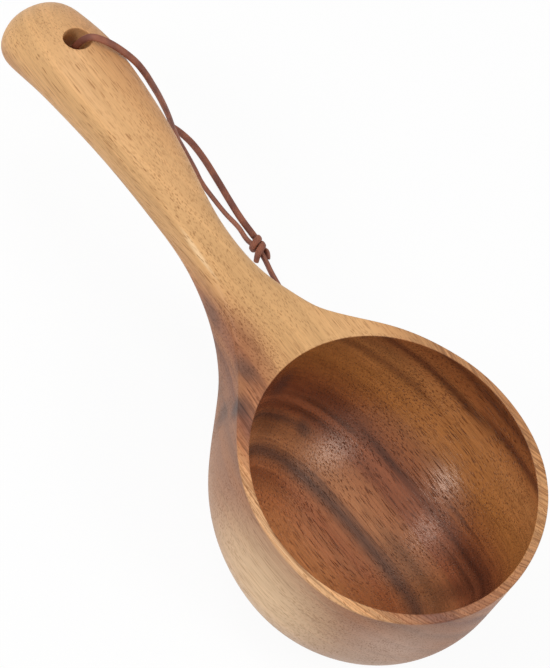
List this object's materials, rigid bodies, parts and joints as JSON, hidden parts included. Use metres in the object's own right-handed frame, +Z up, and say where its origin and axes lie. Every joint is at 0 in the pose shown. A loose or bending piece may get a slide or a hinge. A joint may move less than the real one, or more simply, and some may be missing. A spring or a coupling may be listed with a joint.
{
  "type": "wooden sauna ladle",
  "caption": "Carved wooden ladle with a deep round bowl, a flared neck and an arched handle, hung by a knotted leather lace through a hole in the handle's end.",
  "frame": {"origin": "middle of the bowl's flat foot, on the surface that the ladle stands on", "axes": "+Z up along the bowl's axis, the handle runs along -X, and the lace lies on the +Y side"},
  "size_m": [0.2475, 0.1072, 0.077],
  "materials": {
    "acacia_wood": "oiled satin",
    "brown_leather": "matte, cut edges"
  },
  "bodies": {
    "ladle": {"ladle_body": "acacia_wood"},
    "lace": {"lace_upper_strand": "brown_leather", "lace_lower_strand": "brown_leather", "lace_knot": "brown_leather", "lace_long_tail": "brown_leather", "lace_short_tail": "brown_leather"}
  },
  "joints": [
    {"name": "lace_swing", "type": "hinge", "parent": "ladle", "child": "lace", "pos_m": [-0.173, 0, 0.061], "axis": [0, 0, 1], "range_deg": [0, 120]}
  ]
}
